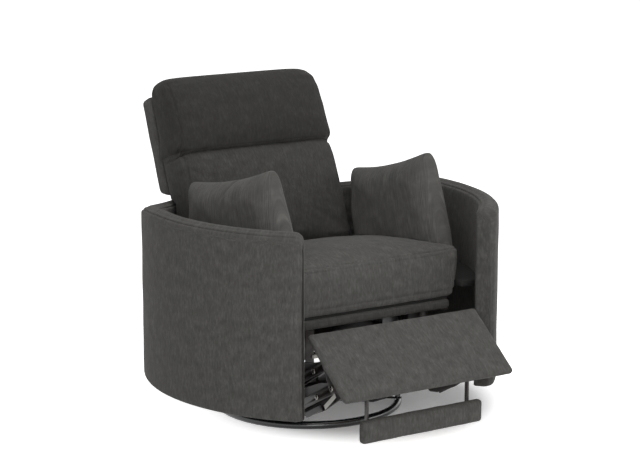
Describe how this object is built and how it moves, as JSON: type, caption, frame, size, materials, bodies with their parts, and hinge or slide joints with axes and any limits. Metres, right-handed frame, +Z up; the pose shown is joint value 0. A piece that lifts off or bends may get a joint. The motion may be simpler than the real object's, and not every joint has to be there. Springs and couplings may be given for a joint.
{
  "type": "swivel glider recliner",
  "caption": "Barrel-armed recliner on a round floor ring: it swivels, glides on hanging links, leans back and folds out a linked footrest with a small flap.",
  "frame": {"origin": "centre of the bounding box on the floor, with the footrest part open as in the picture", "axes": "+Z up, the chair faces -Y, +X is to the right of someone who looks at the chair from the front"},
  "size_m": [0.9598, 1.0606, 0.9056],
  "materials": {
    "ring_gloss": "gloss black powder coat",
    "mechanism_steel": "satin black painted strip steel",
    "plated_steel": "zinc-plated steel",
    "timber": "sawn hardwood and plywood, unfinished",
    "chenille": "charcoal ribbed chenille over foam",
    "deck_cloth": "black deck cloth over foam"
  },
  "bodies": {
    "floor_base": {"base_ring": "ring_gloss", "base_cross": "ring_gloss", "swivel_post": "plated_steel"},
    "swivel": {"swivel_deck": "mechanism_steel", "glide_stand_right": "mechanism_steel", "glide_stand_left": "mechanism_steel", "glide_tie": "mechanism_steel"},
    "glide_front": {"glide_front_link_right": "mechanism_steel", "glide_front_link_left": "mechanism_steel"},
    "glide_rear": {"glide_rear_link_right": "mechanism_steel", "glide_rear_link_left": "mechanism_steel"},
    "carriage": {"carriage_rail_right": "mechanism_steel", "carriage_rail_left": "mechanism_steel", "barrel_shell": "chenille", "bearer_right": "timber", "bearer_left": "timber", "cross_rail_front": "timber", "cross_rail_rear": "timber", "side_deck_right": "deck_cloth", "side_deck_left": "deck_cloth", "slide_track_right": "mechanism_steel", "slide_track_left": "mechanism_steel"},
    "seat": {"slide_runner_right": "plated_steel", "slide_runner_left": "plated_steel", "seat_side_rail_right": "timber", "seat_side_rail_left": "timber", "seat_front_rail": "chenille", "seat_back_rail": "timber", "seat_spring_1": "plated_steel", "seat_spring_2": "plated_steel", "seat_spring_3": "plated_steel", "seat_spring_4": "plated_steel", "seat_cushion": "chenille", "mechanism_plate_right": "mechanism_steel", "mechanism_plate_left": "mechanism_steel", "pillow_right": "chenille", "pillow_left": "chenille"},
    "front_links": {"footrest_front_link_right": "mechanism_steel", "footrest_front_link_left": "mechanism_steel", "footrest_torque_tube": "mechanism_steel"},
    "rear_links": {"footrest_rear_link_right": "mechanism_steel", "footrest_rear_link_left": "mechanism_steel"},
    "inner_links": {"footrest_inner_link_right": "mechanism_steel", "footrest_inner_link_left": "mechanism_steel"},
    "outer_links": {"footrest_outer_link_right": "mechanism_steel", "footrest_outer_link_left": "mechanism_steel"},
    "board": {"footrest_bracket_right": "mechanism_steel", "footrest_bracket_left": "mechanism_steel", "footrest_panel": "timber", "footrest_pad": "chenille"},
    "flap": {"flap_arm_right": "mechanism_steel", "flap_arm_left": "mechanism_steel", "flap_pad": "chenille"},
    "back": {"back_strap_right": "mechanism_steel", "back_strap_left": "mechanism_steel", "back_frame": "timber", "back_panel": "chenille", "back_cushion": "chenille", "head_cushion": "chenille"}
  },
  "joints": [
    {"name": "base_swivel", "type": "hinge", "parent": "floor_base", "child": "swivel", "pos_m": [0, 0.05987, 0.05], "axis": [0, 0, 1], "continuous": true},
    {"name": "glide", "type": "hinge", "parent": "swivel", "child": "glide_front", "pos_m": [0, -0.03013, 0.222], "axis": [1, 0, 0], "range_deg": [-20, 20]},
    {"name": "glide_rear_pivot", "type": "hinge", "parent": "swivel", "child": "glide_rear", "pos_m": [0, 0.14986, 0.222], "axis": [1, 0, 0], "range_deg": [-20, 20]},
    {"name": "carriage_pivot", "type": "hinge", "parent": "glide_front", "child": "carriage", "pos_m": [0, -0.03013, 0.122], "axis": [1, 0, 0], "range_deg": [-20, 20]},
    {"name": "seat_slide", "type": "slide", "parent": "carriage", "child": "seat", "axis": [0, -0.9063, 0.4226], "range_m": [-0.0276, 0.0662]},
    {"name": "back_recline", "type": "hinge", "parent": "seat", "child": "back", "pos_m": [0, 0.29486, 0.385], "axis": [-1, 0, 0], "range_deg": [-5, 12]},
    {"name": "footrest", "type": "hinge", "parent": "seat", "child": "front_links", "pos_m": [0, -0.12014, 0.3], "axis": [-1, 0, 0], "range_deg": [-52.5, 32]},
    {"name": "footrest_rear", "type": "hinge", "parent": "seat", "child": "rear_links", "pos_m": [0, -0.04537, 0.25957], "axis": [-1, 0, 0], "range_deg": [-52.5, 32]},
    {"name": "footrest_inner", "type": "hinge", "parent": "front_links", "child": "inner_links", "pos_m": [0, -0.20564, 0.15191], "axis": [-1, 0, 0], "range_deg": [-32, 52.5]},
    {"name": "footrest_outer", "type": "hinge", "parent": "front_links", "child": "outer_links", "pos_m": [0, -0.23814, 0.09562], "axis": [-1, 0, 0], "range_deg": [-32, 52.5]},
    {"name": "footrest_board", "type": "hinge", "parent": "inner_links", "child": "board", "pos_m": [0, -0.38596, 0.24941], "axis": [-1, 0, 0], "range_deg": [-52.5, 32]},
    {"name": "flap_turn", "type": "hinge", "parent": "board", "child": "flap", "pos_m": [0, -0.46773, 0.19171], "axis": [-1, 0, 0], "range_deg": [-86.1, 52.5]}
  ],
  "couplings": [
    {"joint": "glide_rear_pivot", "follows": "glide", "ratio": 1},
    {"joint": "carriage_pivot", "follows": "glide", "ratio": -1},
    {"joint": "seat_slide", "follows": "back_recline", "m_per_rad": 0.316},
    {"joint": "footrest_rear", "follows": "footrest", "ratio": 1},
    {"joint": "footrest_inner", "follows": "footrest", "ratio": -1},
    {"joint": "footrest_outer", "follows": "footrest", "ratio": -1},
    {"joint": "footrest_board", "follows": "footrest", "ratio": 1},
    {"joint": "flap_turn", "follows": "footrest", "ratio": 1.64}
  ]
}
